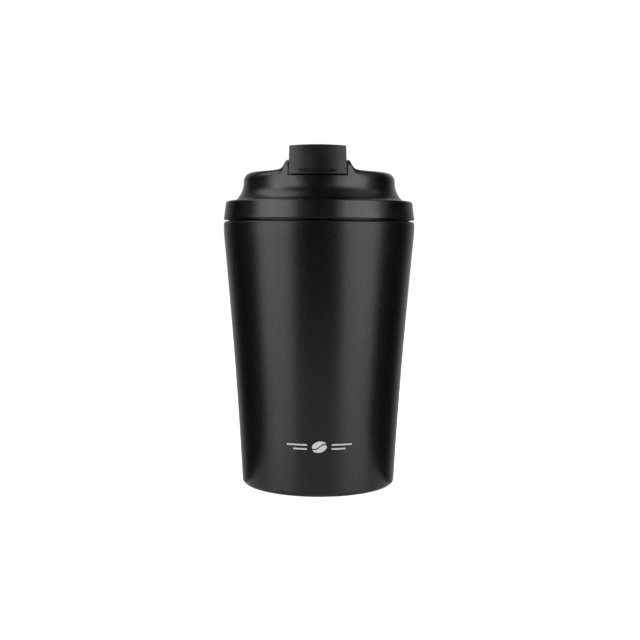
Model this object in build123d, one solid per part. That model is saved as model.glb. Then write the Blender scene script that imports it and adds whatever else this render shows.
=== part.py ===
from build123d import *
import math
import os

# Insulated travel mug: a double-walled vacuum cup with a screw-in lid and a flip-up drink tab.
# Millimetres. The origin is the centre of the base, +Z is up and the drink tab faces -Y.

# ---- Cup, outside ----
FOOT_R = 35.3            # outer wall just above the foot rounding
RIM_R = 43.92            # upright land below the lip
FOOT_Z = 0.2             # steel foot above the surface the mug stands on
FOOT_ROUND = 1.6
LIP_Z = 121.2            # top of the steel lip
LIP_ROUND = 1.2
LAND_HEIGHT = 5.0        # upright land, measured down from the lip to the end of the taper
LAND_BLEND = 2.85        # length of land taken up by the large rounding into the taper
TAPER_SAG = 0.6          # how far the flared side bows in from a straight taper
SHELL_WALL = 0.6
FOOT_LAND = 2.7          # width of the turned-in steel foot

# ---- Cup, inside ----
LINER_WALL = 0.5
NECK_GAP = 2.3           # vacuum gap round the threaded neck
BODY_GAP = 3.6           # vacuum gap at the bottom of the side wall
LIP_WELD = 1.6           # lip weld seam, inward from the outside of the cup
NECK_DEPTH = 10.2        # lip to the step below the thread
BORE_STEP = 1.7          # step from the threaded neck to the plain bore
STEP_ROUND = 0.8
BORE_LAND = 7.0          # straight bore below the step, where the lid's seal sits
FLOOR_Z = 10.0           # inside floor of the cup
FLOOR_ROUND = 7.0
LINER_LIP_ROUND = 0.5
LIP_ROUND_LIMIT = 0.9    # largest share of the lip's wall that its rounding may take

# ---- Vacuum base, getter and foil ----
BASE_PAN_Z = 6.0         # underside of the vacuum base
BASE_PAN_FLANGE = 2.6
DIMPLE_R = 5.0
DIMPLE_DEPTH = 1.4
DIMPLE_WALL_LEAN = 1.2
PORT_R = 1.0             # evacuation hole
BEAD_R = 2.4
BEAD_SPREAD = 0.7
BEAD_ROUND = 0.55
GETTER_X = 15.0
GETTER_R = 4.0
GETTER_WALL = 0.3
GETTER_HEIGHT = 1.8
GETTER_FILL = 1.2
FOIL_WALL = 0.15
FOIL_GAP = 0.6           # foil stands this far off the liner
FOIL_BOTTOM_Z = 22.0
FOIL_TOP_DROP = 5.0      # foil's top edge below the neck step

# ---- Base cap and pad ----
CAP_WALL = 0.5
CAP_CLEARANCE = 0.15
CAP_FLANGE = 1.6
CAP_OUTER_ROUND = 0.8
CAP_INNER_ROUND = 0.3
PAD_OUTER_R = 29.5
PAD_INNER_R = 22.5
PAD_ROUND = 0.4

# ---- Quick thread between cup and lid ----
THREAD_STARTS = 3
THREAD_LEAD = 12.0       # rise of the lid for one full turn
THREAD_DEPTH = 1.0
THREAD_ROOT_WIDTH = 1.5
THREAD_CREST_WIDTH = 0.9
THREAD_ARC = 105.0       # degrees covered by each thread
THREAD_CLEARANCE = 0.4   # crest to opposite wall
FLANK_GAP = 0.25         # between a lid thread and the cup thread that holds it down
THREAD_SINK = 0.3        # thread root buried in its wall
CUP_THREAD_DROP = 7.3    # lip to the low end of the cup's threads

# ---- Lid, outside ----
SKIRT_GAP = 0.75         # open seam between cup lip and lid skirt
SKIRT_PROUD = 0.08       # foot of the skirt outside the cup's rim
SHOULDER_LEAN = 1.1      # the skirt leans in by this much up to the shoulder
SKIRT_HEIGHT = 8.3
SKIRT_SAG = 0.08
SKIRT_ROUND = 0.4
SHOULDER_ROUND = 1.3
SHOULDER_RISE = 0.6      # the shoulder climbs towards the collar
COLLAR_R = 34.76
COLLAR_HEIGHT = 12.2     # collar rim above the foot of the flare
FLARE_R = 11.0
FLARE_END_DROP = 4.0     # flare ends this far below the rim
FLARE_FOOT_ROUND = 0.8
FLARE_WALL = 1.05        # level thickness of the wall at the flare's foot
RIM_OUTER_ROUND = 2.2
RIM_INNER_ROUND = 0.7
COLLAR_WALL = 2.4
LID_WALL = 1.8
DECK_DROP = 6.0          # rim to the recessed deck
DECK_WALL = 2.0

# ---- Spout notch and its raised ears ----
NOTCH_WIDTH = 25.7       # at the collar's outside
NOTCH_STEP = 0.85        # the notch is this much narrower, left and right, at the inside
NOTCH_REBATE = 1.26      # depth of the wider part, so that its step backs the gap beside the tab
NOTCH_DROP = 2.5         # rim to the sill of the notch
EAR_RISE = 4.3
EAR_TOP = 1.5            # flat top of an ear before it falls away
EAR_RUN = 2.0            # sideways run of the falling edge
EAR_TAIL = 2.7
EAR_TAIL_DROP = 2.1
EAR_TOP_ROUND = 1.6
EAR_FOOT_ROUND = 3.0

# ---- Plug: the threaded inner half of the lid ----
PLUG_DEPTH = 14.7        # lip to the bottom of the plug
PLUG_WALL = 1.8
NOSE_CLEARANCE = 0.6     # plain end of the plug in the bore
NOSE_ABOVE_STEP = 0.4
FLANGE_CLEARANCE = 0.3
FLANGE_HEIGHT = 1.5
FLANGE_GAP = 0.45        # flange above the cup lip
SEAL_GROOVE_DEPTH = 1.4
SEAL_HEIGHT = 2.6
SEAL_ABOVE_BOTTOM = 1.2
SEAL_FIT = 0.08          # seal lip to bore, relaxed
SEAL_SIDE_GAP = 0.05
SEAL_BODY_PROUD = 0.3
NOSE_ROUND = 0.7

# ---- Drink hole and vent ----
DRINK_INSET = 7.76       # wall of the recess to the middle of the drink hole
DRINK_WIDTH = 16.6       # across the mug, at the deck
DRINK_LENGTH = 8.6
SEAT_DEPTH = 3.4
SEAT_DRAFT = 20.0        # degrees, so that the stopper swings out freely
VENT_Y = -5.0
VENT_WIDTH = 4.2
VENT_LENGTH = 2.6
DUCT_WALL = 1.5
GASKET_HEIGHT = 1.0
GASKET_LAND = 0.9        # gasket wider than its duct

# ---- Flip arm, pin and silicone ----
HINGE_Y = 10.0
HINGE_HEIGHT = 4.6       # pin axis above the deck
BARREL_R = 3.1
PIN_R = 1.2
PIN_SLIP = 0.05
PIN_FIT = 0.02
LUG_WALL = 3.0
LUG_GAP = 0.3
LUG_FOOT = 1.0           # each lug is this much wider at the deck, front and back
ARM_REAR_WIDTH = 17.4
ARM_THICKNESS = 4.4
ARM_ABOVE_DECK = 3.4
ARM_SHOULDER = 2.6       # the arm keeps its full width to this far behind the drink hole's middle
ARM_NARROWING = 14.0     # and reaches its rear width over this length
TAB_PROUD = 1.64         # face of the tab in front of the collar
TAB_SIDE_GAP = 0.3
TAB_STEP_GAP = 0.55      # back of the tab's wide front to the step in the notch
TAB_CROWN = 0.35         # the tab's top edge is this much lower at the sides
TAB_SILL_GAP = 0.5
SILL_CLEARANCE = 0.6     # arm behind the sill, at its corners
TAB_TOP_Z = 153.5
TAB_DRAFT = 0.35         # each side of the tab leans in by this much at its top
TAB_THICKNESS = 5.6
TAB_TOP_THICKNESS = 4.2
TAB_BACK_ROUND = 5.0
TAB_EDGE_ROUND = 0.5
SCOOP_R = 0.75
SCOOP_RISE = 1.6         # finger scoop above the tab's lower edge
SCOOP_SINK = 0.2
STOPPER_GAP = 0.25
STOPPER_DEPTH = 3.0
BOSS_WALL = 1.6          # silicone round the arm's boss
VENT_PAD_R = 3.2
VENT_PAD_GAP = 0.15
VENT_PAD_ROUND = 0.8
VENT_PAD_SKIN = 0.5      # silicone left under the stud
VENT_STUD_R = 1.2

# ---- Places worked out from the sizes above ----
TAPER_TOP_Z = LIP_Z - LAND_HEIGHT
NECK_R = RIM_R - SHELL_WALL - NECK_GAP - LINER_WALL
BORE_R = NECK_R - BORE_STEP
STEP_Z = LIP_Z - NECK_DEPTH
LINER_FOOT_R = FOOT_R - SHELL_WALL - BODY_GAP - LINER_WALL
FOOT_OPEN_R = FOOT_R - FOOT_LAND
WELD_R = RIM_R - LIP_WELD
SKIRT_R = RIM_R + SKIRT_PROUD
SHOULDER_R = SKIRT_R - SHOULDER_LEAN
SKIRT_Z = LIP_Z + SKIRT_GAP
SHOULDER_Z = SKIRT_Z + SKIRT_HEIGHT
FLARE_FOOT_Z = SHOULDER_Z + SHOULDER_RISE
RIM_Z = FLARE_FOOT_Z + COLLAR_HEIGHT
FLARE_Z = RIM_Z - FLARE_END_DROP
FLARE_FOOT_R = COLLAR_R + FLARE_R - math.sqrt(FLARE_R ** 2 - (FLARE_Z - FLARE_FOOT_Z) ** 2)
DECK_Z = RIM_Z - DECK_DROP
DECK_UNDER_Z = DECK_Z - DECK_WALL
RECESS_R = COLLAR_R - COLLAR_WALL
SILL_Z = RIM_Z - NOTCH_DROP
NOTCH_INNER_WIDTH = NOTCH_WIDTH - 2 * NOTCH_STEP
NOTCH_STEP_R = COLLAR_R - NOTCH_REBATE
PLUG_R = NECK_R - THREAD_DEPTH - THREAD_CLEARANCE
NOSE_R = BORE_R - NOSE_CLEARANCE
NOSE_Z = STEP_Z + NOSE_ABOVE_STEP
PLUG_Z = LIP_Z - PLUG_DEPTH
PLUG_FLOOR_Z = PLUG_Z + PLUG_WALL
PLUG_TOP_Z = SHOULDER_Z - LID_WALL
FLANGE_Z = LIP_Z + FLANGE_GAP
SKIRT_INNER_R = SKIRT_R - LID_WALL
SEAL_Z = PLUG_Z + SEAL_ABOVE_BOTTOM
GROOVE_R = NOSE_R - SEAL_GROOVE_DEPTH
DRINK_Y = DRINK_INSET - RECESS_R
ARM_SHOULDER_Y = DRINK_Y + ARM_SHOULDER
ARM_NECK_Y = ARM_SHOULDER_Y + ARM_NARROWING
TAB_FACE_R = COLLAR_R + TAB_PROUD
DUCT_Z = PLUG_FLOOR_Z + GASKET_HEIGHT
SEAT_NARROWING = SEAT_DEPTH * math.tan(math.radians(SEAT_DRAFT))
HINGE_Z = DECK_Z + HINGE_HEIGHT
TAB_Z = SILL_Z + TAB_SILL_GAP
TAB_WIDTH = NOTCH_WIDTH - 2 * TAB_SIDE_GAP
TAB_INNER_WIDTH = NOTCH_INNER_WIDTH - 2 * TAB_SIDE_GAP
TAB_STEP_Y = -math.sqrt(NOTCH_STEP_R ** 2 - (NOTCH_INNER_WIDTH / 2) ** 2) - TAB_STEP_GAP
ARM_UNDER_Z = DECK_Z + ARM_ABOVE_DECK
ARM_TOP_Z = ARM_UNDER_Z + ARM_THICKNESS
MARGIN = 5.0             # cutters run past what they cut by this much


def rounded(face, corners):
    """Round named corners of a flat outline; each is a (radius, height) place and a rounding."""
    for place, rounding in corners:
        face = fillet(face.vertices().sort_by_distance(place)[0], rounding)
    return face


def turned(face):
    """Revolve an outline of radius and height about the mug's own axis."""
    return revolve(Plane.XZ * face, Axis.Z)


def ring(inner_r, outer_r, low_z, high_z):
    """A plain turned ring, or a disc when inner_r is 0."""
    standing = (Align.CENTER, Align.CENTER, Align.MIN)
    body = Pos(0, 0, low_z) * Cylinder(outer_r, high_z - low_z, align=standing)
    if inner_r > 0:
        body -= ring(0, inner_r, low_z - MARGIN, high_z + MARGIN)
    return body


def slot_prism(place_y, width, depth, low_z, high_z):
    """An upright prism with a slot-shaped section, long side across the mug."""
    section = Pos(0, place_y, low_z) * SlotOverall(width, depth)
    return extrude(section, high_z - low_z)


def slot_cone(place_y, width, depth, draft, low_z, high_z):
    """A slot-shaped plug that narrows downward by the same amount on every side."""
    narrowing = (high_z - low_z) * math.tan(math.radians(draft))
    top = Pos(0, place_y, high_z) * SlotOverall(width, depth)
    bottom = Pos(0, place_y, low_z) * SlotOverall(width - 2 * narrowing, depth - 2 * narrowing)
    return loft([bottom, top])


def side_prism(face, half_width):
    """Extrude an outline of (y, z) sideways, the same amount to left and right."""
    return extrude(Plane.YZ * face, half_width, both=True)


def thread(wall_r, low_z, outward):
    """The starts of one quick thread, standing out of a cylindrical wall."""
    side = 1 if outward else -1
    section = Plane.XZ * make_face(Polyline(
        (wall_r - side * THREAD_SINK, low_z - THREAD_ROOT_WIDTH / 2),
        (wall_r, low_z - THREAD_ROOT_WIDTH / 2),
        (wall_r + side * THREAD_DEPTH, low_z - THREAD_CREST_WIDTH / 2),
        (wall_r + side * THREAD_DEPTH, low_z + THREAD_CREST_WIDTH / 2),
        (wall_r, low_z + THREAD_ROOT_WIDTH / 2),
        (wall_r - side * THREAD_SINK, low_z + THREAD_ROOT_WIDTH / 2),
        close=True,
    ))
    path = Helix(THREAD_LEAD, THREAD_LEAD * THREAD_ARC / 360, wall_r, center=(0, 0, low_z))
    one_start = sweep(section, path, is_frenet=True)
    return [Rot(0, 0, 360 / THREAD_STARTS * start) * one_start for start in range(THREAD_STARTS)]


def land_rounding():
    """Radius that rounds the end of the taper into the land over the chosen length of land."""
    height = TAPER_TOP_Z - FOOT_Z
    end_slope = (RIM_R - FOOT_R + 4 * TAPER_SAG) / height
    return LAND_BLEND / math.tan(math.atan(end_slope) / 2)


def cup_form(skin):
    """The cup's outer form, drawn in everywhere by skin."""
    foot = (FOOT_R - skin, FOOT_Z + skin)
    taper_top = (RIM_R - skin, TAPER_TOP_Z)
    lip = (RIM_R - skin, LIP_Z - skin)
    middle = ((foot[0] + taper_top[0]) / 2 - TAPER_SAG, (foot[1] + taper_top[1]) / 2)
    side = ThreePointArc(foot, middle, taper_top)
    outline = Polyline((0, foot[1]), foot) + side + Polyline(taper_top, lip, (0, lip[1]), (0, foot[1]))
    corners = [(foot, FOOT_ROUND - skin), (taper_top, land_rounding()), (lip, LIP_ROUND - skin)]
    return turned(rounded(make_face(outline), corners))


def liner_form(skin):
    """The cup's drinking space, grown everywhere by skin; the mouth is left open at the lip."""
    floor = (LINER_FOOT_R + skin, FLOOR_Z - skin)
    taper_top = (BORE_R + skin, STEP_Z - BORE_LAND)
    bore = (BORE_R + skin, STEP_Z - skin)
    step = (NECK_R + skin, STEP_Z - skin)
    outline = Polyline((0, floor[1]), floor, taper_top, bore, step, (step[0], LIP_Z), (0, LIP_Z), close=True)
    corners = [(floor, FLOOR_ROUND + skin), (bore, STEP_ROUND), (step, STEP_ROUND)]
    return turned(rounded(make_face(outline), corners))


def outer_shell():
    """Powder-coated outer wall, turned in at the lip and at the foot."""
    body = cup_form(0) - cup_form(SHELL_WALL)
    body -= ring(0, WELD_R, LIP_Z - SHELL_WALL - MARGIN, LIP_Z + MARGIN)
    body -= ring(0, FOOT_OPEN_R, FOOT_Z - MARGIN, FOOT_Z + SHELL_WALL + MARGIN)
    return body


def inner_liner():
    """Steel liner with its formed thread and the flange that meets the outer shell at the lip."""
    flange = ring(NECK_R, WELD_R, LIP_Z - SHELL_WALL, LIP_Z)
    body = liner_form(LINER_WALL) - liner_form(0) + flange
    mouth = body.edges().filter_by(GeomType.CIRCLE).group_by(Axis.Z)[-1].sort_by(SortBy.RADIUS)[0]
    body = fillet(mouth, min(LINER_LIP_ROUND, SHELL_WALL * LIP_ROUND_LIMIT))
    return body + thread(NECK_R, LIP_Z - CUP_THREAD_DROP, outward=False)


def vacuum_base():
    """Pressed bottom of the vacuum space, with a dimple round the evacuation hole."""
    wide = FOOT_R + MARGIN
    top = BASE_PAN_Z + SHELL_WALL
    dimple_r = DIMPLE_R + DIMPLE_WALL_LEAN
    outline = Polyline(
        (PORT_R, BASE_PAN_Z + DIMPLE_DEPTH), (DIMPLE_R, BASE_PAN_Z + DIMPLE_DEPTH),
        (dimple_r, BASE_PAN_Z), (wide, BASE_PAN_Z), (wide, top),
        (dimple_r - SHELL_WALL / 2, top), (DIMPLE_R - SHELL_WALL / 2, top + DIMPLE_DEPTH),
        (PORT_R, top + DIMPLE_DEPTH), close=True,
    )
    inner_r = FOOT_R - SHELL_WALL * 2
    flange = ring(inner_r, wide, BASE_PAN_Z - BASE_PAN_FLANGE, top)
    return (turned(make_face(outline)) + flange) & cup_form(SHELL_WALL)


def seal_bead():
    """Solder-glass bead that closes the evacuation hole."""
    roof = BASE_PAN_Z + DIMPLE_DEPTH
    button = ring(0, BEAD_R, roof - BEAD_SPREAD, roof)
    button = fillet(button.edges().group_by(Axis.Z)[0], BEAD_ROUND)
    return button + ring(0, PORT_R, roof, roof + SHELL_WALL)


def getter_holder():
    """Small steel cup welded on top of the vacuum base."""
    low = BASE_PAN_Z + SHELL_WALL
    inside = ring(0, GETTER_R - GETTER_WALL, low + GETTER_WALL, low + GETTER_HEIGHT)
    return Pos(GETTER_X, 0, 0) * (ring(0, GETTER_R, low, low + GETTER_HEIGHT) - inside)


def getter_pill():
    """Gas-absorbing pill inside its holder."""
    low = BASE_PAN_Z + SHELL_WALL + GETTER_WALL
    return Pos(GETTER_X, 0, 0) * ring(0, GETTER_R - GETTER_WALL, low, low + GETTER_FILL)


def liner_foil():
    """Radiation foil wrapped round the liner inside the vacuum space."""
    band = ring(0, RIM_R, FOIL_BOTTOM_Z, STEP_Z - FOIL_TOP_DROP)
    off = LINER_WALL + FOIL_GAP
    return (liner_form(off + FOIL_WALL) - liner_form(off)) & band


def base_cap():
    """Stainless cap that hides the vacuum base, pressed in as a shallow tray."""
    low = FOOT_Z + SHELL_WALL
    outer = FOOT_OPEN_R - CAP_CLEARANCE
    tray = ring(0, outer, low, low + CAP_WALL + CAP_FLANGE)
    tray = fillet(tray.edges().group_by(Axis.Z)[0], CAP_OUTER_ROUND)
    inside = ring(0, outer - CAP_WALL, low + CAP_WALL, low + CAP_WALL + CAP_FLANGE)
    inside = fillet(inside.edges().group_by(Axis.Z)[0], CAP_INNER_ROUND)
    return tray - inside


def base_pad():
    """Silicone ring under the base cap that the mug stands on."""
    body = ring(PAD_INNER_R, PAD_OUTER_R, 0, FOOT_Z + SHELL_WALL)
    return fillet(body.edges().group_by(Axis.Z)[0], PAD_ROUND)


def lid_form():
    """The lid's outer form: skirt, shoulder, flare and collar, as a filled solid."""
    skirt = (SKIRT_R, SKIRT_Z)
    shoulder = (SHOULDER_R, SHOULDER_Z)
    middle = ((SKIRT_R + SHOULDER_R) / 2 - SKIRT_SAG, (SKIRT_Z + SHOULDER_Z) / 2)
    sweep_angle = math.degrees(math.asin((FLARE_Z - FLARE_FOOT_Z) / FLARE_R))
    flare = CenterArc((COLLAR_R + FLARE_R, FLARE_Z), FLARE_R, 180, sweep_angle)
    rim = (COLLAR_R, RIM_Z)
    outline = (
        Polyline((0, SKIRT_Z), skirt) + ThreePointArc(skirt, middle, shoulder)
        + Line(shoulder, flare @ 1) + flare + Polyline(flare @ 0, rim, (0, RIM_Z), (0, SKIRT_Z))
    )
    corners = [
        (skirt, SKIRT_ROUND), (shoulder, SHOULDER_ROUND),
        (flare @ 1, FLARE_FOOT_ROUND), (rim, RIM_OUTER_ROUND),
    ]
    return turned(rounded(make_face(outline), corners))


def lid_hollow():
    """The open inside of the lid cover: skirt, room for the plug's wall, and the collar's bore."""
    outline = Polyline(
        (0, SKIRT_Z - MARGIN), (SKIRT_INNER_R, SKIRT_Z - MARGIN), (SKIRT_INNER_R, SKIRT_Z),
        (SHOULDER_R - LID_WALL, PLUG_TOP_Z), (FLARE_FOOT_R - FLARE_WALL, PLUG_TOP_Z),
        (RECESS_R, DECK_UNDER_Z), (RECESS_R, RIM_Z + MARGIN), (0, RIM_Z + MARGIN), close=True,
    )
    return turned(make_face(outline))


def spout_ears():
    """The collar wall raised on both sides of the notch."""
    start = NOTCH_WIDTH / 2 - MARGIN
    edge = NOTCH_WIDTH / 2 + EAR_TOP
    foot = edge + EAR_RUN
    low = RIM_Z - MARGIN
    tail_z = RIM_Z - EAR_TAIL_DROP
    outline = FilletPolyline(
        (start, low), (start, RIM_Z + EAR_RISE), (edge, RIM_Z + EAR_RISE),
        (foot, RIM_Z), (foot + EAR_TAIL, tail_z), (foot + EAR_TAIL, low),
        radius=[0, 0, EAR_TOP_ROUND, EAR_FOOT_ROUND, 0, 0], close=True,
    )
    ear = extrude(Plane.XZ * make_face(outline), COLLAR_R + MARGIN)
    wall = ring(RECESS_R, COLLAR_R, low, RIM_Z + EAR_RISE)
    return (ear + mirror(ear, Plane.YZ)) & wall


def hinge_lugs():
    """Two upright lugs on the deck that hold the hinge pin."""
    low = DECK_Z - DECK_WALL / 2
    outline = make_face(Polyline(
        (HINGE_Y - BARREL_R - LUG_FOOT, low), (HINGE_Y + BARREL_R + LUG_FOOT, low),
        (HINGE_Y + BARREL_R, HINGE_Z), (HINGE_Y - BARREL_R, HINGE_Z), close=True,
    ))
    outline = outline + Pos(HINGE_Y, HINGE_Z) * Circle(BARREL_R)
    inner = ARM_REAR_WIDTH / 2 + LUG_GAP
    return side_prism(outline, inner + LUG_WALL) - side_prism(outline, inner)


DRINK_BORE = (DRINK_WIDTH - 2 * SEAT_NARROWING, DRINK_LENGTH - 2 * SEAT_NARROWING)
VENT_BORE = (VENT_WIDTH, VENT_LENGTH)
PASSAGES = [(DRINK_Y, DRINK_BORE), (VENT_Y, VENT_BORE)]


def passage_prism(place_y, bore, extra, low_z, high_z):
    """A passage's own section, grown by extra on every side."""
    return slot_prism(place_y, bore[0] + 2 * extra, bore[1] + 2 * extra, low_z, high_z)


def notch_block(width):
    """Cutter for the notch: everything above the sill at the front of the collar."""
    height = NOTCH_DROP + EAR_RISE + MARGIN
    standing = (Align.CENTER, Align.CENTER, Align.MIN)
    return Pos(0, -COLLAR_R, SILL_Z) * Box(width, COLLAR_R, height, align=standing)


def lid_cover():
    """Moulded outside of the lid: skirt, shoulder, flare and collar, with the notch and its ears."""
    body = lid_form() - lid_hollow()
    rim_edge = body.edges().filter_by(GeomType.CIRCLE).group_by(Axis.Z)[-1].sort_by(SortBy.RADIUS)[0]
    body = fillet(rim_edge, RIM_INNER_ROUND) + spout_ears()
    rebate = notch_block(NOTCH_WIDTH) - ring(0, NOTCH_STEP_R, SILL_Z - MARGIN, RIM_Z + EAR_RISE + MARGIN)
    return body - notch_block(NOTCH_INNER_WIDTH) - rebate


def lid_deck():
    """Recessed deck welded into the collar, with the hinge lugs, the drink seat and both passages."""
    body = ring(0, RECESS_R, DECK_UNDER_Z, DECK_Z) + hinge_lugs()
    for place_y, bore in PASSAGES:
        body += passage_prism(place_y, bore, DUCT_WALL, DUCT_Z, DECK_Z - DECK_WALL / 2)
        body -= passage_prism(place_y, bore, 0, DUCT_Z - MARGIN, DECK_Z + MARGIN)
    body -= slot_cone(DRINK_Y, DRINK_WIDTH, DRINK_LENGTH, SEAT_DRAFT, DECK_Z - SEAT_DEPTH, DECK_Z)
    pin_bore = Cylinder(PIN_R + PIN_FIT, 2 * RECESS_R - MARGIN, rotation=(0, 90, 0))
    return body - Pos(0, HINGE_Y, HINGE_Z) * pin_bore


def lid_plug():
    """Threaded inner half of the lid: flange, quick thread, nose with seal groove, closed floor."""
    inner_r = PLUG_R - PLUG_WALL
    nose_inner_r = GROOVE_R - PLUG_WALL
    flange_r = SKIRT_INNER_R - FLANGE_CLEARANCE
    outline = Polyline(
        (0, PLUG_Z), (NOSE_R, PLUG_Z), (NOSE_R, SEAL_Z), (GROOVE_R, SEAL_Z),
        (GROOVE_R, SEAL_Z + SEAL_HEIGHT), (NOSE_R, SEAL_Z + SEAL_HEIGHT), (NOSE_R, NOSE_Z),
        (PLUG_R, NOSE_Z), (PLUG_R, FLANGE_Z), (flange_r, FLANGE_Z), (flange_r, FLANGE_Z + FLANGE_HEIGHT),
        (PLUG_R, FLANGE_Z + FLANGE_HEIGHT), (PLUG_R, PLUG_TOP_Z), (inner_r, PLUG_TOP_Z),
        (inner_r, NOSE_Z + PLUG_WALL), (nose_inner_r, NOSE_Z), (nose_inner_r, PLUG_FLOOR_Z),
        (0, PLUG_FLOOR_Z), close=True,
    )
    body = turned(rounded(make_face(outline), [((NOSE_R, PLUG_Z), NOSE_ROUND)]))
    for place_y, bore in PASSAGES:
        body -= passage_prism(place_y, bore, 0, PLUG_Z - MARGIN, PLUG_FLOOR_Z + MARGIN)
    under_cup_thread = THREAD_ROOT_WIDTH + FLANK_GAP
    return body + thread(PLUG_R, LIP_Z - CUP_THREAD_DROP - under_cup_thread, outward=True)


def lid_seal():
    """Silicone ring in the plug's groove, with a lip that wipes the bore."""
    low = SEAL_Z + SEAL_SIDE_GAP
    high = SEAL_Z + SEAL_HEIGHT - SEAL_SIDE_GAP
    middle = (low + high) / 2
    body_r = NOSE_R + SEAL_BODY_PROUD
    tip_r = BORE_R - SEAL_FIT
    outline = Polyline(
        (GROOVE_R, low), (NOSE_R, low), (body_r, low + SEAL_BODY_PROUD), (tip_r, middle),
        (body_r, high - SEAL_BODY_PROUD), (NOSE_R, high), (GROOVE_R, high), close=True,
    )
    return turned(make_face(outline))


def passage_gaskets():
    """Silicone gaskets between each duct and the plug's floor."""
    return [
        passage_prism(place_y, bore, DUCT_WALL + GASKET_LAND, PLUG_FLOOR_Z, DUCT_Z)
        - passage_prism(place_y, bore, 0, PLUG_FLOOR_Z - MARGIN, DUCT_Z + MARGIN)
        for place_y, bore in PASSAGES
    ]


def hinge_pin():
    """Steel pin through both lugs and the arm's barrel."""
    length = 2 * (ARM_REAR_WIDTH / 2 + LUG_GAP + LUG_WALL)
    return Pos(0, HINGE_Y, HINGE_Z) * Cylinder(PIN_R, length, rotation=(0, 90, 0))


def flip_arm():
    """Flip lever: upright thumb tab in the notch, flat arm over the deck and the hinge barrel."""
    front_y = -TAB_FACE_R
    back_y = front_y + TAB_THICKNESS
    top_back_y = front_y + TAB_TOP_THICKNESS
    half = TAB_WIDTH / 2
    inner = TAB_INNER_WIDTH / 2
    rear = ARM_REAR_WIDTH / 2
    sill_end_y = SILL_CLEARANCE - math.sqrt(RECESS_R ** 2 - inner ** 2)
    profile = make_face(Polyline(
        (front_y - MARGIN, TAB_Z), (front_y - MARGIN, TAB_TOP_Z), (top_back_y, TAB_TOP_Z),
        (back_y, ARM_TOP_Z), (HINGE_Y, HINGE_Z + BARREL_R), (HINGE_Y, HINGE_Z - BARREL_R / 2),
        (HINGE_Y - BARREL_R, ARM_UNDER_Z), (sill_end_y, ARM_UNDER_Z), (sill_end_y, TAB_Z), close=True,
    ))
    profile = rounded(profile, [((back_y, ARM_TOP_Z), TAB_BACK_ROUND)])
    profile = profile + Pos(HINGE_Y, HINGE_Z) * Circle(BARREL_R)
    right = [
        (half, front_y - MARGIN), (half, TAB_STEP_Y), (inner, TAB_STEP_Y), (inner, ARM_SHOULDER_Y),
        (rear, ARM_NECK_Y), (rear, HINGE_Y + MARGIN),
    ]
    left = [(-x, y) for x, y in reversed(right)]
    plan = make_face(Polyline(*right, *left, close=True))
    column = extrude(Pos(0, 0, DECK_Z) * plan, TAB_TOP_Z - DECK_Z)
    body = side_prism(profile, half) & column
    body = body & ring(0, TAB_FACE_R, DECK_Z - MARGIN, TAB_TOP_Z + MARGIN)
    corner = (half - TAB_DRAFT, TAB_TOP_Z - TAB_CROWN)
    far_corner = (-corner[0], corner[1])
    low = DECK_Z - MARGIN
    sides = Polyline(far_corner, (-half, TAB_Z), (-half, low), (half, low), (half, TAB_Z), corner)
    lean = make_face(sides + ThreePointArc(corner, (0, TAB_TOP_Z), far_corner))
    body = body & extrude(Plane.XZ * lean, RIM_R, both=True)
    body = fillet(body.faces().sort_by(Axis.Z)[-1].edges(), TAB_EDGE_ROUND)
    scoop = Cylinder(SCOOP_R, TAB_WIDTH + MARGIN, rotation=(0, 90, 0))
    body -= Pos(0, front_y + SCOOP_SINK, TAB_Z + SCOOP_RISE) * scoop
    boss = boss_prism(DECK_Z, ARM_UNDER_Z)
    stud = Pos(0, VENT_Y, 0) * ring(0, VENT_STUD_R, DECK_Z + VENT_PAD_GAP + VENT_PAD_SKIN, ARM_UNDER_Z)
    pin_bore = Cylinder(PIN_R + PIN_SLIP, ARM_REAR_WIDTH + MARGIN, rotation=(0, 90, 0))
    return body + boss + stud - Pos(0, HINGE_Y, HINGE_Z) * pin_bore


def boss_prism(low_z, high_z):
    """The arm's boss that carries the stopper."""
    width = DRINK_WIDTH - 2 * SEAT_NARROWING - 2 * BOSS_WALL
    depth = DRINK_LENGTH - 2 * SEAT_NARROWING - 2 * BOSS_WALL
    return slot_prism(DRINK_Y, width, depth, low_z, high_z)


def flip_stopper():
    """Silicone stopper that closes the drink hole, drafted so that it swings clear."""
    slope = math.tan(math.radians(SEAT_DRAFT))
    narrow = 2 * STOPPER_GAP / math.cos(math.radians(SEAT_DRAFT))
    width = DRINK_WIDTH - narrow
    depth = DRINK_LENGTH - narrow
    cone = slot_cone(DRINK_Y, width, depth, SEAT_DRAFT, DECK_Z - STOPPER_DEPTH, DECK_Z)
    head = slot_prism(DRINK_Y, width, depth, DECK_Z, ARM_UNDER_Z)
    return cone + head - boss_prism(DECK_Z, ARM_UNDER_Z + MARGIN)


def vent_pad():
    """Silicone pad under the arm that covers the vent."""
    low = DECK_Z + VENT_PAD_GAP
    body = ring(0, VENT_PAD_R, low, ARM_UNDER_Z)
    body = fillet(body.edges().group_by(Axis.Z)[0], VENT_PAD_ROUND)
    body -= ring(0, VENT_STUD_R, DECK_Z + VENT_PAD_GAP + VENT_PAD_SKIN, ARM_UNDER_Z + MARGIN)
    return Pos(0, VENT_Y, 0) * body


drink_gasket, vent_gasket = passage_gaskets()
NODES = {
    "outer_shell": outer_shell(),
    "inner_liner": inner_liner(),
    "vacuum_base": vacuum_base(),
    "seal_bead": seal_bead(),
    "getter_holder": getter_holder(),
    "getter_pill": getter_pill(),
    "liner_foil": liner_foil(),
    "base_cap": base_cap(),
    "base_pad": base_pad(),
    "lid_cover": lid_cover(),
    "lid_deck": lid_deck(),
    "lid_plug": lid_plug(),
    "lid_seal": lid_seal(),
    "drink_gasket": drink_gasket,
    "vent_gasket": vent_gasket,
    "hinge_pin": hinge_pin(),
    "flip_arm": flip_arm(),
    "flip_stopper": flip_stopper(),
    "vent_pad": vent_pad(),
}

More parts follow.
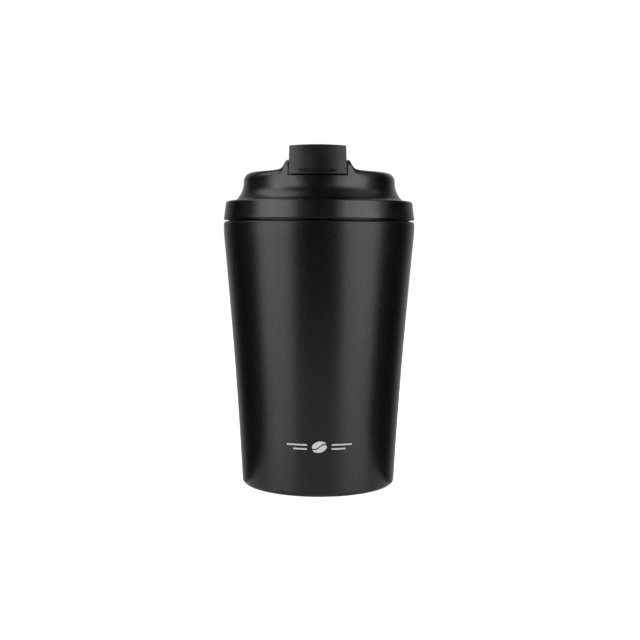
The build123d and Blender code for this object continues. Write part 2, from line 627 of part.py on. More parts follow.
os.makedirs("parts", exist_ok=True)
for name, solid in NODES.items():
    export_step(solid, f"parts/{name}.step")
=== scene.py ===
import functools
import math

import bmesh
import bpy
from bpy.props import FloatProperty, FloatVectorProperty, IntProperty, PointerProperty
from mathutils import Euler, Matrix, Vector


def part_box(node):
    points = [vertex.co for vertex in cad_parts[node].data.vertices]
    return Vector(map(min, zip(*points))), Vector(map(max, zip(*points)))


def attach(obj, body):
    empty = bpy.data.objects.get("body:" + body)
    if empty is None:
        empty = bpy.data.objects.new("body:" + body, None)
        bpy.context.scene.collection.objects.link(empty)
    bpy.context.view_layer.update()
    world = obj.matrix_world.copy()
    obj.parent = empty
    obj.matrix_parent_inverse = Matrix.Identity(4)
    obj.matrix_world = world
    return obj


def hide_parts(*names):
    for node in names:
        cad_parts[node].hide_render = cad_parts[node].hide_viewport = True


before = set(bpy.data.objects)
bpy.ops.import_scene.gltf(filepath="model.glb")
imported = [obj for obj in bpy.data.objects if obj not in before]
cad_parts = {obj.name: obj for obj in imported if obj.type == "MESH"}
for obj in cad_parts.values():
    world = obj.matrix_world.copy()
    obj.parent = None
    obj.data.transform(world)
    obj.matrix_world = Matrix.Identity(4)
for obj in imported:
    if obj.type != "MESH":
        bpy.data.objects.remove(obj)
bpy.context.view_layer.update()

MM = 0.001
TAU = 2 * math.pi
SHARP_ANGLE = math.radians(32)      # edges turned more than this stay sharp
DOT_FLATNESS = 0.55                 # height of a grip dot as a share of its radius

bl_info = {
    "name": "Insulated travel mug",
    "version": (1, 0, 0),
    "blender": (4, 5, 0),
    "location": "View3D > Sidebar > Travel mug",
    "description": "Builds and finishes an insulated travel mug with a screw-in flip lid",
    "category": "Object",
}


# ---------------------------------------------------------------- sizes and colours

def length(name, description, millimetres):
    return FloatProperty(name=name, description=description, default=millimetres * MM,
                         subtype="DISTANCE", unit="LENGTH", precision=5)


def shade(name, description, colour):
    return FloatVectorProperty(name=name, description=description, default=colour, size=3,
                               subtype="COLOR", min=0.0, max=1.0)


def turn(name, description, radians):
    return FloatProperty(name=name, description=description, default=radians,
                         subtype="ANGLE", unit="ROTATION")


def power(name, description, watts):
    return FloatProperty(name=name, description=description, default=watts, unit="POWER")


def glow(name, description, strength):
    return FloatProperty(name=name, description=description, default=strength, subtype="UNSIGNED")


def count_of(name, description, number, least):
    return IntProperty(name=name, description=description, default=number, min=least, subtype="UNSIGNED")


class MugStageSettings(bpy.types.PropertyGroup):
    distance: length("Camera distance", "From the mug's axis to the camera", 492.35)
    eye_height: length("Eye height", "Camera above the surface the mug stands on", 110.49)
    side_step: length("Side step", "Camera to the right of the mug's axis", 0.62)
    lens: FloatProperty(name="Lens", description="Focal length on a 36 mm sensor", default=59.58,
                        subtype="DISTANCE_CAMERA")
    azimuth: turn("Azimuth", "Camera turned round the mug", math.radians(1.1))
    pitch: turn("Pitch", "Camera tipped down", 0.0706)
    roll: turn("Roll", "Camera leaned over", 0.0042)
    side_power: power("Side light power", "Each large side light", 8.2)
    left_power: power("Overhead left", "Left overhead light", 2.6)
    right_power: power("Overhead right", "Right overhead light", 0.6)
    rear_power: power("Rear light power", "High light behind the mug", 1.2)
    bounce_power: power("Floor bounce", "Light off the floor in front of the mug", 0.16)
    floor_glow: glow("Floor glow", "Own light of the white sweep", 0.9)
    room_glow: glow("Room glow", "Even light from all round", 0.006)
    back_wall: glow("Back wall", "Light from the wall behind the mug", 0.6)
    ground_glow: glow("Ground glow", "Light thrown up by the floor", 0.06)


class MugFormSettings(bpy.types.PropertyGroup):
    taper_land: length("Upright land", "Upright part of the wall below the lip", 5.0)
    land_blend: length("Land blend", "Half the height over which the taper turns upright", 2.85)
    taper_sag: length("Taper sag", "How far the side bows in", 0.6)
    foot_radius: length("Foot radius", "Outside of the cup just above the foot", 35.3)
    foot_round: length("Foot rounding", "Rounding at the foot", 1.6)
    foot_land: length("Foot land", "Width of the turned-in foot", 2.7)
    lip_round: length("Lip rounding", "Rounding at the lip", 1.2)
    lip_weld: length("Lip weld", "Outside of the cup to its weld with the liner", 1.6)
    wall: length("Wall", "Thickness of the outer wall", 0.6)
    segments: count_of("Segments", "Steps round a turned piece", 288, 48)
    pad_dots: count_of("Pad dots", "Grip dots in each ring of the base pad", 60, 1)
    pad_dot: length("Pad dot", "Radius of one grip dot", 0.55)
    mark_height: length("Mark height", "Middle of the printed mark above the table", 22.8)
    mark_turn: turn("Mark turn", "Printed mark turned from the front", math.radians(2.0))
    mark_skin: length("Mark thickness", "Print standing on the coat", 0.03)
    shoulder_radius: length("Shoulder radius", "Top of the lid's skirt", 42.9)
    shoulder_height: length("Shoulder height", "Foot of the skirt to the shoulder", 8.3)
    shoulder_rise: length("Shoulder rise", "Shoulder to the foot of the flare", 0.6)
    collar_radius: length("Collar radius", "Outside of the collar", 34.76)
    collar_wall: length("Collar wall", "Thickness of the collar", 2.4)
    collar_height: length("Collar height", "Foot of the flare to the rim", 12.2)
    flare_radius: length("Flare radius", "Hollow curve from shoulder to collar", 11.0)
    flare_drop: length("Flare drop", "Rim to the top of the flare", 4.0)
    rim_round: length("Rim rounding", "Outer rounding of the rim", 4.0)
    notch_width: length("Notch width", "Spout notch at the collar's outside", 25.7)
    notch_step: length("Notch step", "Narrowing on each side at the inside", 0.85)
    notch_rebate: length("Notch rebate", "Depth of the wide part of the notch", 1.26)
    notch_edge: length("Notch edge", "Rounding of the notch's upright edges", 0.4)
    ear_flat: length("Ear flat", "Middle of the mug to where an ear begins to fall", 14.1)
    ear_fall: length("Ear fall", "Run over which an ear falls to half its height", 1.75)
    deck_under: length("Deck underside", "Rim to the underside of the deck", 8.0)


class MugFinishSettings(bpy.types.PropertyGroup):
    coat: shade("Powder coat", "Colour of the cup's outside", (0.0022, 0.0022, 0.0025))
    lid: shade("Lid plastic", "Colour of the lid's mouldings", (0.0018, 0.0018, 0.0020))
    steel: shade("Steel", "Bare stainless steel", (0.56, 0.555, 0.545))
    silicone: shade("Silicone", "Dark silicone pieces", (0.030, 0.030, 0.032))
    seal: shade("Seal silicone", "Grey silicone seals", (0.23, 0.235, 0.24))
    glass: shade("Solder glass", "Bead that closes the evacuation hole", (0.20, 0.17, 0.13))
    getter: shade("Getter", "Gas-absorbing pill", (0.16, 0.16, 0.17))
    foil: shade("Foil", "Radiation foil round the liner", (0.80, 0.44, 0.28))
    mark: shade("Mark", "Printed mark on the cup", (0.55, 0.55, 0.55))
    grain: length("Coat grain", "Size of the powder coat's grain", 0.55)
    texture: length("Mould texture", "Size of the mouldings' fine texture", 0.30)


# ---------------------------------------------------------------- materials

PAIR_RANGE = (0.75, 1.25)           # usual range of the sum of two noises


class Finish:
    """A principled material with its own small node tree, in millimetre object coordinates."""

    def __init__(self, name, colour, roughness, metallic=0.0, specular=0.5):
        self.material = bpy.data.materials.new(name)
        self.material.use_nodes = True
        self.nodes = self.material.node_tree.nodes
        self.links = self.material.node_tree.links
        self.shader = next(n for n in self.nodes if n.type == "BSDF_PRINCIPLED")
        self.shader.inputs["Base Color"].default_value = (*colour, 1.0)
        self.shader.inputs["Roughness"].default_value = roughness
        self.shader.inputs["Metallic"].default_value = metallic
        self.shader.inputs["Specular IOR Level"].default_value = specular
        self.normal = None
        coordinates = self.nodes.new("ShaderNodeTexCoord")
        scale = self.nodes.new("ShaderNodeVectorMath")
        scale.operation = "SCALE"
        scale.inputs["Scale"].default_value = 1 / MM
        self.links.new(coordinates.outputs["Object"], scale.inputs[0])
        self.place = scale.outputs["Vector"]

    def noise(self, size_mm, detail=2.0, roughness=0.5, stretch=None):
        """Noise whose features are about size_mm across, stretched per axis if asked."""
        node = self.nodes.new("ShaderNodeTexNoise")
        node.inputs["Scale"].default_value = 1 / size_mm
        node.inputs["Detail"].default_value = detail
        node.inputs["Roughness"].default_value = roughness
        place = self.place
        if stretch:
            mapping = self.nodes.new("ShaderNodeMapping")
            mapping.inputs["Scale"].default_value = stretch
            self.links.new(place, mapping.inputs["Vector"])
            place = mapping.outputs["Vector"]
        self.links.new(place, node.inputs["Vector"])
        return node.outputs["Fac"]

    def spread(self, value, low, high, from_low=0.3, from_high=0.7):
        """Remap a texture value to the range low to high."""
        node = self.nodes.new("ShaderNodeMapRange")
        node.inputs["From Min"].default_value = from_low
        node.inputs["From Max"].default_value = from_high
        node.inputs["To Min"].default_value = low
        node.inputs["To Max"].default_value = high
        self.links.new(value, node.inputs["Value"])
        return node.outputs["Result"]

    def math(self, operation, first, second):
        node = self.nodes.new("ShaderNodeMath")
        node.operation = operation
        for socket, value in zip(node.inputs, (first, second)):
            if isinstance(value, (int, float)):
                socket.default_value = value
            else:
                self.links.new(value, socket)
        return node.outputs["Value"]

    def rough(self, value):
        self.links.new(value, self.shader.inputs["Roughness"])

    def tint(self, value, dark, light):
        """Colour the surface between dark and light by a texture value."""
        ramp = self.nodes.new("ShaderNodeMix")
        ramp.data_type = "RGBA"
        ramp.inputs["A"].default_value = (*dark, 1.0)
        ramp.inputs["B"].default_value = (*light, 1.0)
        self.links.new(value, ramp.inputs["Factor"])
        self.links.new(ramp.outputs["Result"], self.shader.inputs["Base Color"])

    def bump(self, value, height_mm, strength=1.0):
        """Stack one more layer of relief, height_mm deep, on the surface."""
        node = self.nodes.new("ShaderNodeBump")
        node.inputs["Distance"].default_value = height_mm * MM
        node.inputs["Strength"].default_value = strength
        self.links.new(value, node.inputs["Height"])
        if self.normal:
            self.links.new(self.normal, node.inputs["Normal"])
        self.normal = node.outputs["Normal"]
        self.links.new(self.normal, self.shader.inputs["Normal"])


def soften_edges(finish, radius_mm):
    """Round the look of sharp edges by a small radius, under the relief already there."""
    bevel = finish.nodes.new("ShaderNodeBevel")
    bevel.samples = 6
    bevel.inputs["Radius"].default_value = radius_mm * MM
    first = next(node for node in finish.nodes if node.type == "BUMP" and not node.inputs["Normal"].links)
    finish.links.new(bevel.outputs["Normal"], first.inputs["Normal"])


def scaled(colour, factor):
    return tuple(min(1.0, channel * factor) for channel in colour)


def powder_coat(settings):
    """Satin black powder coat: fine grain, faint orange-peel relief and a little variation in gloss."""
    finish = Finish("powder_coat", settings.coat, 0.31, specular=0.36)
    grain_mm = settings.grain / MM
    fine = finish.noise(grain_mm, detail=3.0, roughness=0.65)
    peel = finish.noise(grain_mm * 3)
    finish.tint(finish.spread(fine, 0.0, 1.0), scaled(settings.coat, 0.6), scaled(settings.coat, 2.2))
    finish.rough(finish.spread(fine, 0.25, 0.37))
    finish.bump(peel, height_mm=0.02, strength=0.15)
    finish.bump(fine, height_mm=0.03, strength=0.7)
    return finish.material


def moulded_plastic(name, colour, texture_mm, low, high):
    """Satin moulding with fine spark-eroded texture and faint handling marks."""
    finish = Finish(name, colour, (low + high) / 2)
    fine = finish.noise(texture_mm, roughness=0.6)
    cloud = finish.noise(9.0, detail=3.0)
    finish.tint(finish.spread(cloud, 0.0, 1.0), scaled(colour, 0.88), scaled(colour, 1.15))
    finish.rough(finish.spread(finish.math("ADD", fine, cloud), low, high, *PAIR_RANGE))
    finish.bump(fine, height_mm=0.015, strength=0.4)
    soften_edges(finish, radius_mm=0.25)
    return finish.material


def soft_silicone(name, colour):
    """Matte silicone with a dusty bloom."""
    finish = Finish(name, colour, 0.62, specular=0.4)
    cloud = finish.noise(2.5, detail=4.0)
    fine = finish.noise(0.25)
    finish.tint(finish.spread(cloud, 0.0, 1.0), scaled(colour, 0.85), scaled(colour, 1.25))
    finish.rough(finish.spread(cloud, 0.52, 0.72))
    finish.bump(fine, height_mm=0.01, strength=0.4)
    return finish.material


def satin_steel(name, colour, stretch, low=0.22, high=0.38):
    """Stainless steel with fine drawn lines along the unstretched axis."""
    finish = Finish(name, colour, (low + high) / 2, metallic=1.0)
    lines = finish.noise(0.5, detail=4.0, roughness=0.7, stretch=stretch)
    cloud = finish.noise(14.0)
    finish.tint(finish.spread(cloud, 0.0, 1.0), scaled(colour, 0.92), scaled(colour, 1.06))
    finish.rough(finish.spread(finish.math("ADD", lines, cloud), low, high, *PAIR_RANGE))
    finish.bump(lines, height_mm=0.01, strength=0.3)
    return finish.material


def spun_steel(name, colour):
    """Pressed stainless steel with fine turned rings round the mug's axis."""
    finish = Finish(name, colour, 0.3, metallic=1.0)
    split = finish.nodes.new("ShaderNodeSeparateXYZ")
    finish.links.new(finish.place, split.inputs["Vector"])
    across = finish.math("MULTIPLY", split.outputs["X"], split.outputs["X"])
    along = finish.math("MULTIPLY", split.outputs["Y"], split.outputs["Y"])
    radius = finish.math("SQRT", finish.math("ADD", across, along), 0.0)
    rings = finish.nodes.new("ShaderNodeTexNoise")
    rings.noise_dimensions = "1D"
    rings.inputs["Scale"].default_value = 3.5
    rings.inputs["Detail"].default_value = 4.0
    finish.links.new(radius, rings.inputs["W"])
    lines = rings.outputs["Fac"]
    cloud = finish.noise(12.0)
    finish.tint(finish.spread(lines, 0.0, 1.0), scaled(colour, 0.82), scaled(colour, 1.08))
    finish.rough(finish.spread(finish.math("ADD", lines, cloud), 0.20, 0.38, *PAIR_RANGE))
    finish.bump(lines, height_mm=0.01, strength=0.35)
    return finish.material


def solder_glass(settings):
    """Grey-brown solder glass with small bubbles, fused and glossy."""
    finish = Finish("solder_glass", settings.glass, 0.12)
    bubbles = finish.noise(0.35, detail=3.0)
    finish.tint(finish.spread(bubbles, 0.0, 1.0), scaled(settings.glass, 0.6), scaled(settings.glass, 1.3))
    finish.rough(finish.spread(bubbles, 0.08, 0.25))
    finish.bump(bubbles, height_mm=0.02, strength=0.5)
    return finish.material


def pressed_powder(settings):
    """Dark pressed metal powder."""
    finish = Finish("getter_metal", settings.getter, 0.75, metallic=0.6)
    grains = finish.noise(0.12, detail=3.0, roughness=0.7)
    finish.tint(finish.spread(grains, 0.0, 1.0), scaled(settings.getter, 0.5), scaled(settings.getter, 1.6))
    finish.rough(finish.spread(grains, 0.6, 0.9))
    finish.bump(grains, height_mm=0.03, strength=0.8)
    return finish.material


def crinkled_foil(settings):
    """Bright copper-coloured foil with long creases."""
    finish = Finish("foil_metal", settings.foil, 0.22, metallic=1.0)
    creases = finish.noise(3.0, detail=5.0, roughness=0.7, stretch=(1.0, 1.0, 0.35))
    finish.tint(finish.spread(creases, 0.0, 1.0), scaled(settings.foil, 0.8), scaled(settings.foil, 1.1))
    finish.rough(finish.spread(creases, 0.14, 0.34))
    finish.bump(creases, height_mm=0.15, strength=0.6)
    return finish.material


def etched_print(name, colour):
    """Pale print with a dry, slightly speckled surface."""
    finish = Finish(name, colour, 0.6)
    speckle = finish.noise(0.18, detail=3.0, roughness=0.6)
    finish.tint(finish.spread(speckle, 0.0, 1.0), scaled(colour, 0.75), scaled(colour, 1.15))
    finish.bump(speckle, height_mm=0.01, strength=0.4)
    return finish.material


def dress(node, material):
    """Give a carried-over CAD node its finish."""
    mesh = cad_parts[node].data
    mesh.materials.clear()
    mesh.materials.append(material)


# ---------------------------------------------------------------- outlines

@functools.lru_cache(maxsize=None)
def node_box(node):
    """Lowest and highest corners of a CAD node, in millimetres."""
    return tuple(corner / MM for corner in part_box(node))


def rounded_outline(corners, steps=7, support=0.12):
    """Points of a closed outline whose (x, y, rounding) corners are drawn as short arcs.

    Where there is room, a support point beside each end of an arc keeps the flat beside it level.
    """
    places = [Vector(corner[:2]) for corner in corners]
    count = len(places)
    arcs = []
    for index, (_, _, rounding) in enumerate(corners):
        before = (places[index - 1] - places[index]).normalized()
        after = (places[(index + 1) % count] - places[index]).normalized()
        half = before.angle(after) / 2
        arcs.append((before, after, half, rounding / math.tan(half) if rounding > 0 else 0.0))
    points = []
    for index, (before, after, half, run) in enumerate(arcs):
        corner, rounding = places[index], corners[index][2]
        if rounding <= 0:
            points.append(corner)
            continue
        centre = corner + (before + after).normalized() * (rounding / math.sin(half))
        start = (corner + before * run - centre).normalized()
        end = (corner + after * run - centre).normalized()
        room = (corner - places[index - 1]).length - run - arcs[index - 1][3]
        if room > 3 * support:
            points.append(corner + before * (run + support))
        points += [centre + start.slerp(end, step / steps) * rounding for step in range(steps + 1)]
        room = (corner - places[(index + 1) % count]).length - run - arcs[(index + 1) % count][3]
        if room > 3 * support:
            points.append(corner + after * (run + support))
    return points


def fill_gaps(points, longest):
    """Closed outline with extra points so that no step is longer than longest."""
    filled = []
    for index, point in enumerate(points):
        following = points[(index + 1) % len(points)]
        count = max(1, math.ceil((following - point).length / longest))
        filled += [point.lerp(following, step / count) for step in range(count)]
    return filled


def cup_radius(form, height):
    """Outside radius of the cup at a height, both in millimetres."""
    low, lip, rim = node_box("outer_shell")[0].z, node_box("outer_shell")[1].z, node_box("outer_shell")[1].x
    foot = form.foot_radius / MM
    top = lip - form.taper_land / MM
    blend, sag = form.land_blend / MM, form.taper_sag / MM

    def taper(place):
        share = (place - low) / (top - low)
        return foot + (rim - foot) * share - 4 * sag * share * (1 - share)

    if height <= top - blend:
        return taper(height)
    if height >= top + blend:
        return rim
    start = taper(top - blend)
    run = 0.1
    slope = (start - taper(top - blend - run)) / run
    share = (height - top + blend) / (2 * blend)
    landing = start + slope * blend * 2 * (share - share * share / 2)
    return landing + (rim - start - slope * blend) * share * share


def cup_outline(form):
    """Closed (radius, height) outline of the cup's outer wall."""
    low, lip = (corner.z for corner in node_box("outer_shell"))
    wall, land = form.wall / MM, form.foot_land / MM
    start, end = low + 2 * form.foot_round / MM, lip - 2 * form.lip_round / MM
    steps = 44
    side = [start + (end - start) * step / steps for step in range(steps + 1)]
    outer = [(cup_radius(form, height), height, 0) for height in side]
    inner = [(radius - wall, height, 0) for radius, height, _ in reversed(outer)]
    foot_r, rim_r = cup_radius(form, low), outer[-1][0]
    weld_r = rim_r - form.lip_weld / MM
    inner_lip, inner_foot = lip - wall, low + wall
    lip_round, foot_round = form.lip_round / MM, form.foot_round / MM
    return rounded_outline([
        (foot_r - land, low, 0), (foot_r, low, foot_round), *outer, (rim_r, lip, lip_round),
        (weld_r, lip, 0), (weld_r, inner_lip, 0), (rim_r - wall, inner_lip, lip_round - wall), *inner,
        (foot_r - wall, inner_foot, foot_round - wall), (foot_r - land, inner_foot, 0),
    ])


# ---------------------------------------------------------------- pieces

def piece(name, mesh, material, body, slot, *nodes):
    """Link a finished mesh as a named piece that rides on a body and stands for CAD nodes."""
    tidy = bmesh.new()
    tidy.from_mesh(mesh)
    bmesh.ops.recalc_face_normals(tidy, faces=tidy.faces)
    tidy.to_mesh(mesh)
    tidy.free()
    mesh.name = name
    mesh.shade_smooth()
    mesh.set_sharp_from_angle(angle=SHARP_ANGLE)
    mesh.materials.clear()
    mesh.materials.append(material)
    holder = bpy.data.objects.new(name, mesh)
    bpy.context.collection.objects.link(holder)
    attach(holder, body)
    if nodes:
        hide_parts(*nodes)
    return holder


class Graph:
    """A Geometry Nodes group, built node by node and run once."""

    def __init__(self, name, **inputs):
        self.group = bpy.data.node_groups.new(name, "GeometryNodeTree")
        kinds = {int: "NodeSocketInt", float: "NodeSocketFloat"}
        self.group.interface.new_socket("Geometry", in_out="OUTPUT", socket_type="NodeSocketGeometry")
        for label, kind in inputs.items():
            kind = kinds.get(kind, kind)
            self.group.interface.new_socket(label, in_out="INPUT", socket_type=kind)
        self.given = self.group.nodes.new("NodeGroupInput").outputs
        self.end = self.group.nodes.new("NodeGroupOutput").inputs[0]

    def add(self, kind, feeds, output=0, **settings):
        """Add a node, feed its inputs with values or outputs, and return one of its outputs."""
        node = self.group.nodes.new(kind)
        for key, value in settings.items():
            setattr(node, key, value)
        for socket, value in feeds.items():
            if isinstance(value, bpy.types.NodeSocket):
                self.group.links.new(value, node.inputs[socket])
            else:
                node.inputs[socket].default_value = value
        return node.outputs[output]

    def math(self, operation, first, second=0.0):
        return self.add("ShaderNodeMath", {0: first, 1: second}, operation=operation)

    def close(self, geometry, material):
        """Realize, give the material and join to the group's output."""
        plain = self.add("GeometryNodeRealizeInstances", {0: geometry})
        dressed = self.add("GeometryNodeSetMaterial", {"Geometry": plain, "Material": material})
        self.group.links.new(dressed, self.end)

    def run(self, **values):
        """The group's result for these inputs, as a plain mesh."""
        host = bpy.data.objects.new("host", bpy.data.meshes.new("host"))
        bpy.context.collection.objects.link(host)
        modifier = host.modifiers.new("build", "NODES")
        modifier.node_group = self.group
        for item in self.group.interface.items_tree:
            if item.item_type == "SOCKET" and item.in_out == "INPUT":
                modifier[item.identifier] = values[item.name]
        host.update_tag()
        bpy.context.view_layer.update()
        evaluated = host.evaluated_get(bpy.context.evaluated_depsgraph_get())
        mesh = bpy.data.meshes.new_from_object(evaluated)
        bpy.data.objects.remove(host)
        return mesh


def turned_graph():
    """Turns an outline of (radius, 0, height) points about the mug's axis."""
    graph = Graph("turned_form", Outline="NodeSocketObject", Segments=int, Material="NodeSocketMaterial")
    outline = graph.add("GeometryNodeObjectInfo", {"Object": graph.given["Outline"]}, "Geometry")
    points = graph.add("GeometryNodeAttributeDomainSize", {"Geometry": outline}, "Point Count")
    columns = graph.math("ADD", graph.given["Segments"], 1.0)
    rows = graph.math("ADD", points, 1.0)
    grid = graph.add("GeometryNodeMeshGrid", {"Vertices X": rows, "Vertices Y": columns})
    index = graph.add("GeometryNodeInputIndex", {})
    row = graph.math("FLOOR", graph.math("DIVIDE", graph.math("ADD", index, 0.5), columns))
    column = graph.math("SUBTRACT", index, graph.math("MULTIPLY", row, columns))
    angle = graph.math("DIVIDE", graph.math("MULTIPLY", column, TAU), graph.given["Segments"])
    spot = graph.add("GeometryNodeSampleIndex", {
        "Geometry": outline, "Value": graph.add("GeometryNodeInputPosition", {}),
        "Index": graph.math("MODULO", row, points),
    }, data_type="FLOAT_VECTOR", domain="POINT")
    rotated = graph.add("ShaderNodeVectorRotate", {"Vector": spot, "Angle": angle}, rotation_type="Z_AXIS")
    placed = graph.add("GeometryNodeSetPosition", {"Geometry": grid, "Position": rotated})
    sewn = graph.add("GeometryNodeMergeByDistance", {"Geometry": placed, "Distance": 1e-6})
    graph.close(sewn, graph.given["Material"])
    return graph


def turned(outline, segments, material):
    """Mesh turned from a closed outline of (radius, height) millimetre points."""
    mesh = bpy.data.meshes.new("outline")
    mesh.from_pydata([(x * MM, 0.0, z * MM) for x, z in outline], [], [])
    holder = bpy.data.objects.new("outline", mesh)
    bpy.context.collection.objects.link(holder)
    result = turned_graph().run(Outline=holder, Segments=segments, Material=material)
    bpy.data.objects.remove(holder)
    return result


def dots_graph():
    """Rings of low domes, pointing down, for the base pad."""
    graph = Graph("grip_dots", Count=int, Inner=float, Step=float, Height=float, Dot=float,
                  Material="NodeSocketMaterial")
    rings = 3.0
    total = graph.math("MULTIPLY", graph.given["Count"], rings)
    index = graph.add("GeometryNodeInputIndex", {})
    ring = graph.math("MODULO", index, rings)
    place = graph.math("DIVIDE", graph.math("SUBTRACT", index, ring), rings)
    stagger = graph.math("ADD", place, graph.math("DIVIDE", ring, rings))
    angle = graph.math("DIVIDE", graph.math("MULTIPLY", stagger, TAU), graph.given["Count"])
    radius = graph.math("ADD", graph.given["Inner"], graph.math("MULTIPLY", ring, graph.given["Step"]))
    spot = graph.add("ShaderNodeCombineXYZ", {
        "X": graph.math("MULTIPLY", radius, graph.math("COSINE", angle)),
        "Y": graph.math("MULTIPLY", radius, graph.math("SINE", angle)),
        "Z": graph.given["Height"],
    })
    points = graph.add("GeometryNodePoints", {"Count": total, "Position": spot})
    dome = graph.add("GeometryNodeMeshUVSphere", {"Segments": 16, "Rings": 8, "Radius": graph.given["Dot"]})
    flat = graph.add("GeometryNodeTransform", {"Geometry": dome, "Scale": (1.0, 1.0, DOT_FLATNESS)})
    spread = graph.add("GeometryNodeInstanceOnPoints", {"Points": points, "Instance": flat})
    graph.close(spread, graph.given["Material"])
    return graph


class MUG_OT_cup(bpy.types.Operator):
    """Powder-coated cup wall, its printed mark and the gripping base pad"""
    bl_idname = "mug.cup"
    bl_label = "Cup"

    def execute(self, context):
        form, finish = context.scene.mug_form, context.scene.mug_finish
        coat = powder_coat(finish)
        wall = turned(cup_outline(form), form.segments, coat)
        piece("cup_wall", wall, coat, "cup", "powder_coat", "outer_shell")
        self.mark(form, finish)
        self.pad(form, finish)
        return {"FINISHED"}

    def mark(self, form, finish):
        """A coffee bean between two pairs of thin lines."""
        ink = etched_print("mark_print", finish.mark)
        half_long, half_tall, groove, bend, thinnest = 3.4, 2.45, 0.28, 0.55, 0.04
        bean_steps, line_steps, half_stroke = 28, 24, 0.33
        lean = Matrix.Rotation(math.radians(16), 2)
        shapes = []
        for side in (-1, 1):
            edge, seam = [], []
            for step in range(bean_steps + 1):
                along = -1 + 2 * step / bean_steps
                rim = side * half_tall * math.sqrt(max(0.0, 1 - along * along))
                inner = bend * math.sin(math.pi * along) + side * groove
                if side * (rim - inner) > thinnest:
                    edge.append((along * half_long, rim))
                    seam.append((along * half_long, inner))
            shapes.append([[lean @ Vector(spot) for spot in line] for line in (edge, seam)])
            for height, start, end in ((0.9, 5.4, 14.6), (-0.9, 5.4, 11.6)):
                stations = [start + (end - start) * step / line_steps for step in range(line_steps + 1)]
                shapes.append([[Vector((side * at, height + up)) for at in stations]
                               for up in (-half_stroke, half_stroke)])
        cloth = bmesh.new()
        for first, second in shapes:
            self.band(cloth, form, first, second)
        mesh = bpy.data.meshes.new("printed_mark")
        cloth.to_mesh(mesh)
        cloth.free()
        piece("printed_mark", mesh, ink, "cup", "powder_coat")

    def band(self, cloth, form, first, second):
        """A thin closed ribbon between two lines, wrapped on the cup."""
        middle, skin = form.mark_height / MM, form.mark_skin / MM
        rows = []
        for one, two in zip(first, second):
            loop = []
            for spot, lift in ((one, skin), (two, skin), (two, -skin), (one, -skin)):
                height = middle + spot.y
                radius = cup_radius(form, height) + lift
                angle = form.mark_turn + spot.x / radius
                loop.append(cloth.verts.new((
                    radius * math.sin(angle) * MM, -radius * math.cos(angle) * MM, height * MM)))
            rows.append(loop)
        for near, far in zip(rows, rows[1:]):
            for index in range(4):
                following = (index + 1) % 4
                cloth.faces.new((near[index], near[following], far[following], far[index]))
        cloth.faces.new(rows[0])
        cloth.faces.new(rows[-1])

    def pad(self, form, finish):
        """Silicone ring with a shallow groove, standing on rings of small dots."""
        silicone = soft_silicone("pad_silicone", finish.silicone)
        high = node_box("base_pad")[1]
        outer, top = high.x, high.z
        width, sole, groove_depth = 7.0, 0.25, 0.15
        dot_inset, dot_spacing = 2.5, 1.65
        inner, groove_z = outer - width, sole + groove_depth
        dot = form.pad_dot / MM
        outline = rounded_outline([
            (inner, sole, 0.15), (inner + 0.7, sole, 0.1), (inner + 0.9, groove_z, 0.05),
            (inner + 1.2, groove_z, 0.05), (inner + 1.4, sole, 0.1), (outer, sole, 0.3),
            (outer, top, 0.0), (inner, top, 0.0),
        ], steps=4, support=0.04)
        ring = turned(outline, form.segments, silicone)
        piece("base_pad_ring", ring, silicone, "cup", "pad_silicone", "base_pad")
        dots = dots_graph().run(
            Count=form.pad_dots, Inner=(inner + dot_inset) * MM, Step=dot_spacing * MM,
            Height=DOT_FLATNESS * dot * MM, Dot=dot * MM, Material=silicone)
        piece("base_pad_dots", dots, silicone, "cup", "pad_silicone")


